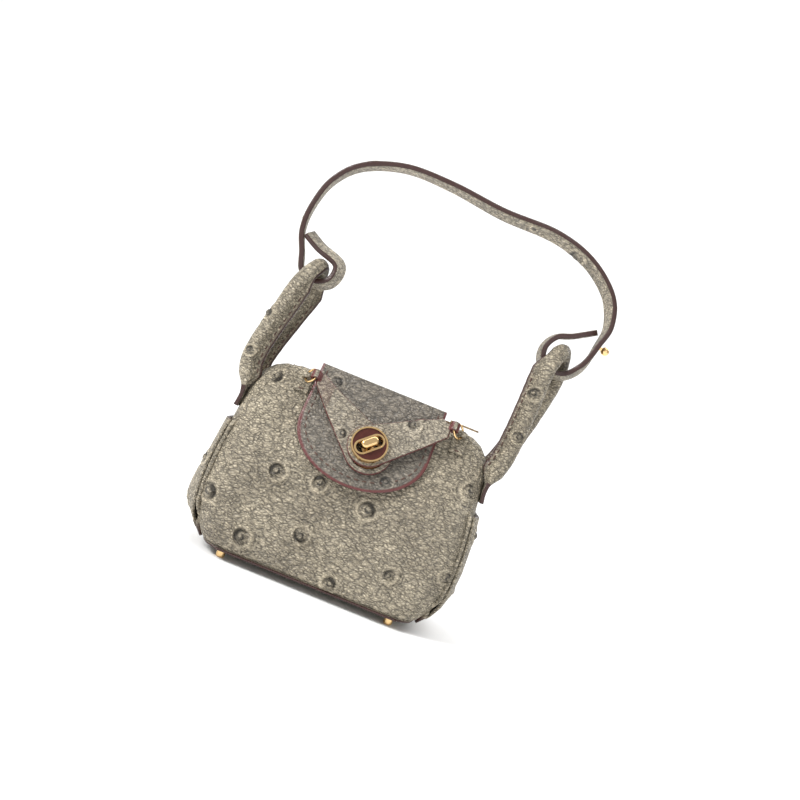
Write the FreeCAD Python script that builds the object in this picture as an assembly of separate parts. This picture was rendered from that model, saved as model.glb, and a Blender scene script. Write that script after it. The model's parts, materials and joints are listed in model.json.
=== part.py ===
"""Miniature leather carry case: zipped body, half-moon flap, turn-lock, two handles and a strap.

Millimetres. +Z is up, -Y is the front, and the origin is on the ground under the body's middle.
"""
import FreeCAD, Part

import math
import os

V = FreeCAD.Vector
X_AXIS, Y_AXIS, Z_AXIS = V(1, 0, 0), V(0, 1, 0), V(0, 0, 1)

# ---- driving dimensions -------------------------------------------------------------------
LEATHER = 1.1                 # thickness of every leather piece
LINING = 0.4                  # thickness of the cloth lining
BODY_TOP = 63.6               # height of the mouth's rim

# Height, half-width, half-depth and corner radius of the body's horizontal sections.
# From SLOPE_START up, the front and back are flat and lean in by SLOPE (depth lost per height).
SLOPE_START, SLOPE, SLOPE_DEPTH = 40.0, 0.5, 16.9
SECTIONS = (
    (2.6, 34.5, 18.0, 9.0),
    (4.0, 36.2, 18.5, 9.8),
    (6.5, 38.2, 18.9, 10.4),
    (10.0, 40.2, 19.1, 10.8),
    (15.0, 41.7, 19.2, 11.0),
    (22.0, 42.3, 19.2, 11.0),
    (30.0, 42.0, 19.0, 11.0),
    (36.0, 41.4, 18.3, 10.6),
    (SLOPE_START, 41.0, SLOPE_DEPTH, 9.8),
    (52.0, 40.0, SLOPE_DEPTH - SLOPE * 12.0, 7.6),
    (58.0, 38.2, SLOPE_DEPTH - SLOPE * 18.0, 6.0),
    (61.0, 35.4, SLOPE_DEPTH - SLOPE * 21.0, 5.2),
    (62.6, 32.2, 4.9, 4.0),
    (BODY_TOP, 28.4, 3.4, 2.6),
)
BODY_BOTTOM = SECTIONS[0][0]
SEAM_OFFSET = 25.5            # the corner seams lie where |x| - |y| has this value

LOCK_X, LOCK_Z = 2.2, 47.0    # centre of the turn-lock on the sloping front
FLAP_HALF_WIDTH = 21.2
FLAP_STACK = 0.3              # clearance between the stacked layers of the closure
FLAP_RIDGE = 65.9             # height of the flap's underside over the zip
FLAP_HINGE_Y, FLAP_HINGE_Z = 4.9, 66.4

RING_RADIUS, RING_WIRE = 2.3, 0.35
RING_TILT = 45.0              # angle between a ring's plane and the front, at rest
RING_AXIS_LIFT = 1.6          # height of the ring's pivot over the front
LEFT_RING = (-22.7, 60.4)     # x and z of the ring centres
RIGHT_RING = (26.3, 61.4)

ZIP_HALF_LENGTH = 25.0
ZIP_CLOSED_X = 22.6           # slider's middle when the zip is shut
FOOT_X, FOOT_Y, FOOT_RADIUS = 27.6, 14.2, 1.4

HANDLE_RADIUS = 2.7
HANDLE_Y = 6.5                # half the distance between a handle's two legs
HANDLE_FOOT_Z = 53.8          # where the tube starts above its flat tab
LEFT_HANDLE = {"foot_x": -43.4, "front_x": -37.0, "rear_x": -34.5, "shoulder_z": 89.0, "lean": 14.5}
RIGHT_HANDLE = {"foot_x": 43.4, "front_x": 45.0, "rear_x": 51.0, "shoulder_z": 92.0, "lean": 6.0}

STRAP_WIDTH, STRAP_THICKNESS = 6.4, 2.0

SLOPE_ANGLE = math.degrees(math.atan2(1.0, SLOPE))
SLOPE_RISE = math.sin(math.radians(SLOPE_ANGLE))      # height gained per unit along the slope


# ---- shared geometry ----------------------------------------------------------------------
def slope_place():
    """Local x across, y up the sloping front and z outwards, from under the lock's centre."""
    origin = V(0, -(SLOPE_DEPTH - SLOPE * (LOCK_Z - SLOPE_START)), LOCK_Z)
    return FreeCAD.Placement(origin, FreeCAD.Rotation(X_AXIS, SLOPE_ANGLE))


def along(z):
    """Distance up the sloping front from the lock's centre to height z."""
    return (z - LOCK_Z) / SLOPE_RISE


def on_slope(shape):
    shape.Placement = slope_place().multiply(shape.Placement)
    return shape


def box(x0, x1, y0, y1, z0, z1):
    return Part.makeBox(x1 - x0, y1 - y0, z1 - z0, V(x0, y0, z0))


def prism(points, height, base=0.0):
    """Upright prism on a polygon of (x, y) points."""
    corners = [V(x, y, base) for x, y in points]
    return Part.Face(Part.makePolygon(corners + corners[:1])).extrude(V(0, 0, height))


def side_prism(points, x0, x1):
    """Prism along X on a polygon of (y, z) points."""
    corners = [V(x0, y, z) for y, z in points]
    return Part.Face(Part.makePolygon(corners + corners[:1])).extrude(V(x1 - x0, 0, 0))


def disc(x, y, radius, z0, z1):
    return Part.makeCylinder(radius, z1 - z0, V(x, y, z0))


def oval(x, y, length, width, angle, z0, z1):
    """Upright block with round ends, its long way turned by angle from +X."""
    half = (length - width) / 2
    block = box(-half, half, -width / 2, width / 2, z0, z1)
    block = block.fuse([disc(-half, 0, width / 2, z0, z1), disc(half, 0, width / 2, z0, z1)])
    block = block.removeSplitter()
    block.rotate(V(0, 0, 0), Z_AXIS, angle)
    block.translate(V(x, y, 0))
    return block


def section_wire(z, half_x, half_y, radius):
    """Rounded rectangle at height z."""
    cx, cy, mid = half_x - radius, half_y - radius, radius * math.sqrt(0.5)
    edges = []
    for sx, sy, first_x in ((1, -1, True), (1, 1, False), (-1, 1, True), (-1, -1, False)):
        a = V(sx * cx, sy * half_y, z)
        b = V(sx * half_x, sy * cy, z)
        middle = V(sx * (cx + mid), sy * (cy + mid), z)
        start, end = (a, b) if first_x else (b, a)
        if edges:
            edges.append(Part.LineSegment(edges[-1].Vertexes[-1].Point, start).toShape())
        edges.append(Part.Arc(start, middle, end).toShape())
    edges.append(Part.LineSegment(edges[-1].Vertexes[-1].Point, edges[0].Vertexes[0].Point).toShape())
    return Part.Wire(edges)


def body_loft(inset, bottom=0.0, top=0.0):
    """The body's form shrunk by inset (negative grows it), its ends moved by bottom and top."""
    wires = []
    for z, half_x, half_y, radius in SECTIONS:
        if z == BODY_BOTTOM:
            z += bottom
        elif z == BODY_TOP:
            z += top
        wires.append(section_wire(z, half_x - inset, half_y - inset, max(radius - inset, 0.6)))
    return Part.makeLoft(wires, True, True)


# ---- body: leather shell, board, lining and pockets -----------------------------------------
def shell_pieces():
    """The leather shell, cut along its seams into five pieces."""
    base_top = BODY_BOTTOM + LEATHER
    shell = body_loft(0).cut(body_loft(LEATHER, 0, 0.5))
    walls = shell.common(box(-60, 60, -60, 60, base_top, BODY_TOP + 1))
    far, reach = 60.0, 60.0 - SEAM_OFFSET
    front = [(-SEAM_OFFSET, 0), (-far, -reach), (-far, -far), (far, -far), (far, -reach), (SEAM_OFFSET, 0)]
    side = [(SEAM_OFFSET, 0), (far, -reach), (far, reach)]
    pieces = {
        "front_panel": walls.common(prism(front, 80)),
        "back_panel": walls.common(prism([(x, -y) for x, y in front], 80)),
        "right_gusset": walls.common(prism(side, 80)),
        "left_gusset": walls.common(prism([(-x, y) for x, y in side], 80)),
        "base_panel": body_loft(0).common(box(-60, 60, -60, 60, 0, base_top)),
    }
    post_hole = on_slope(disc(LOCK_X, 0, LOCK_BUSH_RADIUS, -3, 3))
    pieces["front_panel"] = pieces["front_panel"].cut(post_hole)
    pieces["base_panel"] = pieces["base_panel"].cut(foot_shanks())
    return pieces


def base_board():
    """Stiffening board that lies on the base inside the case."""
    z = BODY_BOTTOM + LEATHER
    board = body_loft(LEATHER + LINING + 0.3).common(box(-60, 60, -60, 60, z, z + 1.2))
    return board.cut(foot_shanks())


def lining():
    """Cloth bag glued inside the shell, open at the mouth."""
    floor = BODY_BOTTOM + LEATHER + 1.2
    outer = body_loft(LEATHER)
    inner = body_loft(LEATHER + LINING)
    skin = outer.cut(inner).common(box(-60, 60, -60, 60, floor + LINING, BODY_TOP - 2.2))
    sheet = outer.common(box(-60, 60, -60, 60, floor, floor + LINING))
    bag = skin.fuse(sheet).removeSplitter()
    return bag.cut(foot_shanks()).cut(on_slope(disc(LOCK_X, 0, LOCK_WASHER_RADIUS + 0.1, -3, 1)))


POCKET_BOTTOM, POCKET_TOP, POCKET_BULGE = 5.0, 40.5, 1.7


def side_pocket(side):
    """Slip pocket sewn over one gusset, open at the top."""
    wall = body_loft(-POCKET_BULGE).cut(body_loft(-(POCKET_BULGE - LEATHER)))
    reach = 60.0 - SEAM_OFFSET
    zone = prism([(SEAM_OFFSET + 1.2, 0), (60, -reach + 1.2), (60, reach - 1.2)], POCKET_TOP - POCKET_BOTTOM,
                 POCKET_BOTTOM)
    pocket = wall.common(zone)
    if side < 0:
        pocket = pocket.mirror(V(0, 0, 0), X_AXIS)
    return pocket


# ---- feet ---------------------------------------------------------------------------------
FOOT_SHANK_RADIUS = 0.7
FOOT_SPOTS = [(sx * FOOT_X, sy * FOOT_Y) for sx in (-1, 1) for sy in (-1, 1)]


def foot_shanks(radius=FOOT_SHANK_RADIUS):
    top = BODY_BOTTOM + LEATHER + 3
    return Part.makeCompound([disc(x, y, radius, BODY_BOTTOM - 1, top) for x, y in FOOT_SPOTS])


def feet():
    """Four domed metal studs with a shank through the base."""
    studs = []
    for x, y in FOOT_SPOTS:
        head = disc(x, y, FOOT_RADIUS, 0, BODY_BOTTOM)
        head = head.makeFillet(0.6, [e for e in head.Edges if abs(e.BoundBox.ZMax) < 0.01])
        shank = disc(x, y, FOOT_SHANK_RADIUS, BODY_BOTTOM, BODY_BOTTOM + LEATHER + 1.7)
        studs.append(head.fuse(shank).removeSplitter())
    return Part.makeCompound(studs)


def foot_washers():
    """Thin washers that hold the feet on the board."""
    z = BODY_BOTTOM + LEATHER + 1.2 + LINING
    return Part.makeCompound([disc(x, y, 2.0, z, z + 0.4).cut(foot_shanks()) for x, y in FOOT_SPOTS])


# ---- zip ----------------------------------------------------------------------------------
TAPE_Z, TAPE_THICKNESS = 62.4, 0.5
TEETH_INNER, TEETH_OUTER = 0.45, 1.35
TEETH_LOW, TEETH_HIGH = TAPE_Z - 0.35, TAPE_Z + 0.85
TOOTH_PITCH, TOOTH_LENGTH = 1.3, 0.8


def zip_tape(side):
    """Woven tape glued under one edge of the mouth."""
    lo, hi = sorted((side * (TEETH_OUTER - 0.3), side * 3.3))
    tape = box(-ZIP_HALF_LENGTH - 1, ZIP_HALF_LENGTH + 1, lo, hi, TAPE_Z, TAPE_Z + TAPE_THICKNESS)
    return tape.common(body_loft(LEATHER))


def zip_teeth(side):
    """One row of metal teeth, joined by the cord they are clamped on."""
    lo, hi = sorted((side * TEETH_INNER, side * TEETH_OUTER))
    spine = box(-ZIP_HALF_LENGTH, ZIP_HALF_LENGTH, *sorted((side * 0.9, side * (TEETH_OUTER - 0.3))),
                TAPE_Z, TAPE_Z + TAPE_THICKNESS)
    count = int(2 * ZIP_HALF_LENGTH / TOOTH_PITCH) - 1
    start = -ZIP_HALF_LENGTH + (TOOTH_PITCH / 2 if side > 0 else 0.0)
    teeth = []
    for i in range(count):
        x = start + 0.4 + i * TOOTH_PITCH
        teeth.append(box(x, x + TOOTH_LENGTH, lo, hi, TEETH_LOW, TEETH_HIGH))
    row = spine.fuse(teeth).removeSplitter()
    return row.cut(zip_tape(side))


def zip_stops():
    """Metal stops clamped over both tapes at the ends of the teeth."""
    ends = []
    for x in (-ZIP_HALF_LENGTH - 0.7, ZIP_HALF_LENGTH + 0.1):
        stop = box(x, x + 0.6, -1.6, 1.6, TAPE_Z - 0.3, TAPE_Z + TAPE_THICKNESS + 0.3)
        ends.append(stop.cut(Part.makeCompound([zip_tape(-1), zip_tape(1)])))
    return Part.makeCompound(ends)


SLIDER_LENGTH, SLIDER_HALF_WIDTH, SLIDER_WEB = 5.0, 2.0, 0.25
SLIDER_TOP = TEETH_HIGH + 0.6 + 0.7
BAIL_X = ZIP_CLOSED_X + 1.4
PULL_Z = SLIDER_TOP + 0.35


def zip_slider():
    """Slider: two plates on either side of the teeth, a web between them and a bail on top."""
    x0, x1 = ZIP_CLOSED_X - SLIDER_LENGTH / 2, ZIP_CLOSED_X + SLIDER_LENGTH / 2
    upper = box(x0, x1, -SLIDER_HALF_WIDTH, SLIDER_HALF_WIDTH, SLIDER_TOP - 0.7, SLIDER_TOP)
    upright = [e for e in upper.Edges if e.BoundBox.ZLength > 0.5]
    upper = upper.makeFillet(0.9, upright)
    lower = box(x0 + 0.4, x1 - 0.4, -1.6, 1.6, TEETH_LOW - 0.9, TEETH_LOW - 0.3)
    web = box(ZIP_CLOSED_X - 1.8, ZIP_CLOSED_X - 0.4, -SLIDER_WEB, SLIDER_WEB, TEETH_LOW - 0.4, SLIDER_TOP - 0.6)
    ears = [box(BAIL_X - 0.5, BAIL_X + 0.5, *sorted((s * 1.1, s * 1.6)), SLIDER_TOP - 0.1, PULL_Z + 0.35)
            for s in (-1, 1)]
    pin = Part.makeCylinder(0.2, 2.4, V(BAIL_X, -1.2, PULL_Z), Y_AXIS)
    return upper.fuse([lower, web, pin] + ears).removeSplitter()


def zip_pull():
    """Flat pull tab that turns on the slider's pin."""
    reach = 7.6
    tab = box(BAIL_X, BAIL_X + reach, -0.9, 0.9, PULL_Z - 0.3, PULL_Z + 0.3)
    eye = Part.makeCylinder(0.35, 1.8, V(BAIL_X, -0.9, PULL_Z), Y_AXIS)
    paddle = Part.makeCylinder(1.5, 0.6, V(BAIL_X + reach, 0, PULL_Z - 0.3))
    hole = Part.makeCylinder(0.7, 1.0, V(BAIL_X + reach + 0.2, 0, PULL_Z - 0.5))
    bore = Part.makeCylinder(0.25, 3.0, V(BAIL_X, -1.5, PULL_Z), Y_AXIS)
    return tab.fuse([eye, paddle]).removeSplitter().cut(hole).cut(bore)


# ---- flap -----------------------------------------------------------------------------------
EYELET_CENTRE, EYELET_INNER, EYELET_OUTER = (LOCK_X, -1.65), 4.55, 5.35
FLAP_LOW, FLAP_HIGH = FLAP_STACK, FLAP_STACK + LEATHER
TONGUE_TOP_Z, TONGUE_TIP_Z = 50.0, 35.0


def slope_point(z, lift, side=-1):
    """(y, z) of the point that stands lift out from the sloping front (or back) at height z."""
    y = SLOPE_DEPTH - SLOPE * (z - SLOPE_START) + lift * SLOPE_RISE
    return side * y, z + lift * SLOPE * SLOPE_RISE


def tongue_zone():
    """Straight-sided zone with a half-moon lower end, seen from the front."""
    half, drop = FLAP_HALF_WIDTH, TONGUE_TOP_Z - TONGUE_TIP_Z
    round_end = Part.Face(Part.Wire(Part.Ellipse(V(half, 0, 0), V(0, drop, 0), V(0, 0, 0)).toShape()))
    moon = round_end.extrude(V(0, 0, 60))
    moon.rotate(V(0, 0, 0), X_AXIS, 90)
    moon.translate(V(0, 0, TONGUE_TOP_Z))
    upper = box(-half, half, -60, 10, TONGUE_TOP_Z, 80)
    return moon.fuse(upper).removeSplitter()


def flap():
    """Half-moon flap: hinged behind the ridge, over the zip and down the sloping front."""
    top_z = FLAP_RIDGE + LEATHER
    inner_low, outer_low = slope_point(TONGUE_TIP_Z - 3, FLAP_LOW), slope_point(TONGUE_TIP_Z - 3, FLAP_HIGH)

    def crest(lift, height):
        y, z = slope_point(SLOPE_START, lift)
        return y + (height - z) * SLOPE, height

    profile = [inner_low, crest(FLAP_LOW, FLAP_RIDGE), (FLAP_HINGE_Y - 0.3, FLAP_RIDGE),
               (FLAP_HINGE_Y - 0.3, top_z), crest(FLAP_HIGH, top_z), outer_low]
    leaf = side_prism(profile, -FLAP_HALF_WIDTH - 1, FLAP_HALF_WIDTH + 1).common(tongue_zone())
    return leaf.cut(on_slope(disc(*EYELET_CENTRE, EYELET_OUTER, -2, 3)))


def flap_eyelet():
    """Metal eyelet in the flap, wide enough to pass the lock's head as the flap swings."""
    ring = disc(*EYELET_CENTRE, EYELET_OUTER, FLAP_LOW, FLAP_HIGH)
    return on_slope(ring.cut(disc(*EYELET_CENTRE, EYELET_INNER, 0, 3)))


def flap_root():
    """The flap's rear edge, sewn down on the back panel."""
    low_z = 54.0
    profile = [slope_point(low_z, 0.02, 1), slope_point(low_z, LEATHER, 1), slope_point(64.6, LEATHER, 1),
               (FLAP_HINGE_Y + 0.3, FLAP_RIDGE - 0.2), slope_point(61.6, 0.02, 1)]
    return side_prism(profile, -FLAP_HALF_WIDTH, FLAP_HALF_WIDTH)


# ---- ring tabs, rings and closing straps ------------------------------------------------------
def ring_frame(ring, side):
    """Local x of a ring's pivot, loop and centre, and the heights of its pivot, centre and loop."""
    across = RING_RADIUS * math.cos(math.radians(RING_TILT))
    up = RING_RADIUS * math.sin(math.radians(RING_TILT))
    return {"pivot_x": ring[0] + side * across, "loop_x": ring[0] - side * across,
            "centre_lift": RING_AXIS_LIFT + up, "loop_lift": RING_AXIS_LIFT + 2 * up, "s": along(ring[1])}


def tunnel(x, s, lift, length, outer, inner):
    """Short leather loop whose hole runs up the slope."""
    start = V(x, s - length / 2, lift)
    tube = Part.makeCylinder(outer, length, start, Y_AXIS)
    return tube, Part.makeCylinder(inner, length + 8, V(x, s - length / 2 - 4, lift), Y_AXIS)


def ring_tab(ring, side):
    """Leather tab sewn beside the flap, with a loop that holds the ring."""
    f = ring_frame(ring, side)
    strip = box(f["pivot_x"] - 2.4, f["pivot_x"] + 2.4, along(55.8), along(62.4), 0.05, LEATHER)
    tube, hole = tunnel(f["pivot_x"], f["s"], RING_AXIS_LIFT, 2.0, 1.35, 0.75)
    saddle = box(f["pivot_x"] - 1.0, f["pivot_x"] + 1.0, f["s"] - 1.0, f["s"] + 1.0, 0.5, RING_AXIS_LIFT)
    loop = tube.fuse(saddle).cut(hole)
    return on_slope(strip.fuse(loop).cut(hole.common(box(-60, 60, -60, 60, LEATHER, 9))).removeSplitter())


def ring_solid(ring, side):
    """Round wire ring between a tab and a closing strap."""
    f = ring_frame(ring, side)
    torus = Part.makeTorus(RING_RADIUS, RING_WIRE)
    torus.rotate(V(0, 0, 0), Y_AXIS, side * RING_TILT)
    torus.translate(V(ring[0], f["s"], f["centre_lift"]))
    return on_slope(torus)


def tangent_point(outside, centre, radius, turn):
    """Where the line from a point touches a circle, on the side given by turn (1 or -1)."""
    dx, dy = outside[0] - centre[0], outside[1] - centre[1]
    angle = math.atan2(dy, dx) + turn * math.acos(radius / math.hypot(dx, dy))
    return centre[0] + radius * math.cos(angle), centre[1] + radius * math.sin(angle)


def closing_strap(end_a, end_b, centre, radius, side, level, ring, slot):
    """Tapered leather arm: round at the lock, folded round its ring at the other end."""
    f = ring_frame(ring, side)
    turn = -side
    a = tangent_point(end_a, centre, radius, -turn)
    b = tangent_point(end_b, centre, radius, turn)
    far = (centre[0] - side * radius, centre[1] - 0.1)
    p = [V(x, y, 0) for x, y in (end_a, a, far, b, end_b)]
    outline = Part.Wire([Part.LineSegment(p[0], p[1]).toShape(), Part.Arc(p[1], p[2], p[3]).toShape(),
                         Part.LineSegment(p[3], p[4]).toShape(), Part.LineSegment(p[4], p[0]).toShape()])
    zone = Part.Face(outline).extrude(V(0, 0, 12))
    root, bend, tip = f["loop_x"], f["loop_x"] - side * 7.0, centre[0] - side * (radius + 1)
    lift = f["loop_lift"] - LEATHER / 2
    profile = [(tip, level), (bend, level), (root, lift), (root, lift + LEATHER), (bend, level + LEATHER),
               (tip, level + LEATHER)]
    corners = [V(x, -30, z) for x, z in profile]
    slab = Part.Face(Part.makePolygon(corners + corners[:1])).extrude(V(0, 70, 0))
    tube, hole = tunnel(root, f["s"], f["loop_lift"], 3.0, 1.55, 0.95)
    arm = slab.common(zone).cut(slot)
    return on_slope(arm.fuse(tube).cut(hole).removeSplitter())


LOCK_ANGLE = 44.0
LEFT_LEVEL = FLAP_HIGH + FLAP_STACK
RIGHT_LEVEL = LEFT_LEVEL + LEATHER + FLAP_STACK
PLATE_RADIUS, PLATE_THICKNESS = 5.7, 1.0
SLOT_LENGTH, SLOT_WIDTH = 8.8, 3.6
LEFT_END, LEFT_END_RADIUS = (2.6, -1.2), 7.5


def left_slot(z0=-1, z1=12):
    return oval(LOCK_X - 0.3, 0, SLOT_LENGTH + 0.8, SLOT_WIDTH + 1.8, LOCK_ANGLE, z0, z1)


def right_slot(extra=0.0, z0=-1, z1=12):
    return oval(LOCK_X, 0, SLOT_LENGTH + extra, SLOT_WIDTH + extra, LOCK_ANGLE, z0, z1)


def left_closing_strap():
    return closing_strap((-18.9, 16.8), (-20.7, 12.9), LEFT_END, LEFT_END_RADIUS, -1, LEFT_LEVEL, LEFT_RING,
                         left_slot().fuse(disc(*LEFT_END, PLATE_RADIUS, -1, 12)))


def right_closing_strap():
    return closing_strap((20.3, 17.8), (26.2, 14.4), (LOCK_X, 0), 6.8, 1, RIGHT_LEVEL, RIGHT_RING,
                         right_slot(0.6))


def left_slot_plate():
    """Metal plate set in the end of the under strap."""
    disc_plate = disc(*LEFT_END, PLATE_RADIUS, LEFT_LEVEL, LEFT_LEVEL + LEATHER)
    return on_slope(disc_plate.cut(left_slot()))


def right_slot_plate():
    """Raised round plate with a rim, riveted on the end of the upper strap."""
    base = RIGHT_LEVEL + LEATHER
    plate = disc(LOCK_X, 0, PLATE_RADIUS, base, base + PLATE_THICKNESS + 0.3)
    recess = disc(LOCK_X, 0, PLATE_RADIUS - 0.5, base + PLATE_THICKNESS - 0.3, base + 3)
    collar = right_slot(1.2, base, base + PLATE_THICKNESS + 0.2)
    return on_slope(plate.cut(recess).fuse(collar).cut(right_slot()).removeSplitter())


def plate_inset():
    """Thin dark inset in the plate's face, round the slot's collar."""
    base = RIGHT_LEVEL + LEATHER + PLATE_THICKNESS - 0.3
    inset = disc(LOCK_X, 0, PLATE_RADIUS - 0.5, base, base + 0.3)
    return on_slope(inset.cut(right_slot(1.2)))


# ---- turn-lock ------------------------------------------------------------------------------
LOCK_BUSH_RADIUS, LOCK_WASHER_RADIUS, STEM_RADIUS = 1.9, 4.0, 1.0
HEAD_LOW = RIGHT_LEVEL + LEATHER + PLATE_THICKNESS + 0.35
HEAD_LENGTH, HEAD_WIDTH, HEAD_HEIGHT = 5.4, 2.6, 1.9


def lock_base():
    """Bush fixed through the front panel, in which the lock's stem turns."""
    bush = disc(LOCK_X, 0, LOCK_BUSH_RADIUS, -2.0, 1.2)
    return on_slope(bush.cut(disc(LOCK_X, 0, STEM_RADIUS + 0.05, -3, 3)))


def lock_washer():
    """Backing washer inside the panel, spread over the bush."""
    washer = disc(LOCK_X, 0, LOCK_WASHER_RADIUS, -1.75, -1.25)
    return on_slope(washer.cut(disc(LOCK_X, 0, LOCK_BUSH_RADIUS, -3, 1)))


def lock_toggle():
    """Turning stem with an oblong head that passes the slots in line and locks across them."""
    stem = disc(LOCK_X, 0, STEM_RADIUS, -2.3, HEAD_LOW + 0.2)
    retainer = disc(LOCK_X, 0, STEM_RADIUS + 0.5, -2.6, -2.1)
    head = oval(LOCK_X, 0, HEAD_LENGTH, HEAD_WIDTH, LOCK_ANGLE, HEAD_LOW, HEAD_LOW + HEAD_HEIGHT)
    rim = [e for e in head.Edges if e.BoundBox.ZMin > HEAD_LOW + HEAD_HEIGHT - 0.01]
    head = head.makeFillet(0.6, rim)
    return on_slope(stem.fuse([retainer, head]).removeSplitter())


# ---- handles --------------------------------------------------------------------------------
def handle_points(h):
    """Feet, shoulders and arch of one handle."""
    front, rear = V(h["front_x"], -HANDLE_Y, h["shoulder_z"]), V(h["rear_x"], HANDLE_Y, h["shoulder_z"])
    feet_pair = [V(h["foot_x"], s * HANDLE_Y, HANDLE_FOOT_Z) for s in (-1, 1)]
    return feet_pair, front, rear


def handle_tube(h, radius, trim=0.0):
    """Two straight legs and a half-round arch of round section."""
    (foot_front, foot_rear), front, rear = handle_points(h)
    centre = (front + rear) * 0.5
    spread = (rear - front).Length / 2
    lean = math.radians(h["lean"])
    side_x = (front - rear).normalize()
    up = V(math.sin(lean), 0, math.cos(lean))
    up = (up - side_x * up.dot(side_x)).normalize()
    normal = side_x.cross(up)
    arch = Part.makeTorus(spread, radius, V(0, 0, 0), Z_AXIS, 0, 360, 180)
    turn = FreeCAD.Rotation(side_x, up, normal, "XYZ")
    arch.Placement = FreeCAD.Placement(centre, turn)
    parts = [arch]
    for foot, shoulder in ((foot_front, front), (foot_rear, rear)):
        way = (shoulder - foot).normalize()
        start = foot + way * trim
        parts += [Part.makeCylinder(radius, (shoulder - start).Length, start, way), Part.makeSphere(radius, shoulder)]
    return parts[0].fuse(parts[1:]).removeSplitter()


def handle_cover(h):
    """Rolled leather cover of a handle."""
    return handle_tube(h, HANDLE_RADIUS).cut(handle_tube(h, HANDLE_RADIUS - LEATHER, 1.0))


def handle_core(h):
    """Cord core that keeps a handle round."""
    return handle_tube(h, HANDLE_RADIUS - LEATHER, 1.0)


TAB_LOW, TAB_HIGH, TAB_HALF_WIDTH = 44.0, 53.2, 3.2


def handle_tabs(h):
    """The two flat ends of a handle, sewn on the gusset."""
    side = 1 if h["foot_x"] > 0 else -1
    skin = body_loft(-(0.1 + LEATHER)).cut(body_loft(-0.1))
    pieces = []
    for s in (-1, 1):
        y0, y1 = sorted((s * (HANDLE_Y - TAB_HALF_WIDTH), s * (HANDLE_Y + TAB_HALF_WIDTH)))
        x0, x1 = sorted((side * 30, side * 50))
        pieces.append(skin.common(box(x0, x1, y0, y1, TAB_LOW, TAB_HIGH)))
    return Part.makeCompound([p for piece in pieces for p in piece.Solids])


# ---- shoulder strap ---------------------------------------------------------------------------
# Middle line of the strap as (x, z): the sewn end on the left handle, round its arch, over the
# top, round the arch of the right handle, and up to the free tip behind the stud.
STRAP_LINE = (
    (-39.6, 102.9), (-34.4, 100.6), (-29.5, 98.7), (-28.1, 95.4), (-29.7, 91.3), (-34.4, 89.5),
    (-39.2, 91.8), (-41.4, 97.4), (-43.9, 104.0), (-43.9, 112.2), (-40.9, 122.2), (-33.5, 130.2),
    (-20.0, 135.0), (-4.0, 135.1), (14.2, 133.1), (32.4, 132.8), (45.4, 129.1), (55.4, 121.4),
    (59.2, 112.4), (58.2, 105.0), (56.2, 97.2), (51.9, 92.1), (46.8, 91.5), (43.1, 94.0),
    (42.3, 98.6), (44.8, 102.8), (49.6, 104.9), (54.6, 108.6),
)
STUD_AT, STUD_RADIUS = (57.6, 105.0), 1.4


def strap_curve():
    curve = Part.BSplineCurve()
    curve.interpolate([V(x, 0, z) for x, z in STRAP_LINE])
    return curve


def shoulder_strap():
    """Flat strap, looped round both handles: sewn on the left and held by a stud on the right."""
    curve = strap_curve()
    first, last = curve.FirstParameter, curve.LastParameter
    rows = {1: [], -1: []}
    steps = 110
    for i in range(steps + 1):
        t = first + (last - first) * i / steps
        point, way = curve.value(t), curve.tangent(t)[0]
        across = V(-way.z, 0, way.x)
        for side in rows:
            rows[side].append(point + across * (side * STRAP_THICKNESS / 2) - Y_AXIS * STRAP_WIDTH / 2)
    edges = []
    for side in rows:
        edge = Part.BSplineCurve()
        edge.interpolate(rows[side])
        edges.append(edge.toShape())
    start = Part.LineSegment(rows[1][0], rows[-1][0]).toShape()
    end = Part.LineSegment(rows[1][-1], rows[-1][-1]).toShape()
    face = Part.Face(Part.Wire(Part.__sortEdges__([edges[0], end, edges[1], start])))
    return face.extrude(V(0, STRAP_WIDTH, 0))


def strap_stud():
    """Ball stud riveted through the strap's right end."""
    curve = strap_curve()
    t = curve.parameter(V(STUD_AT[0], 0, STUD_AT[1]))
    point, way = curve.value(t), curve.tangent(t)[0]
    out = V(-way.z, 0, way.x)
    if out.x < 0:
        out = out * -1
    neck = Part.makeCylinder(0.6, 2.2, point + out * (STRAP_THICKNESS / 2), out)
    ball = Part.makeSphere(STUD_RADIUS, point + out * (STRAP_THICKNESS / 2 + 2.0))
    return ball.fuse(neck).removeSplitter()


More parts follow.
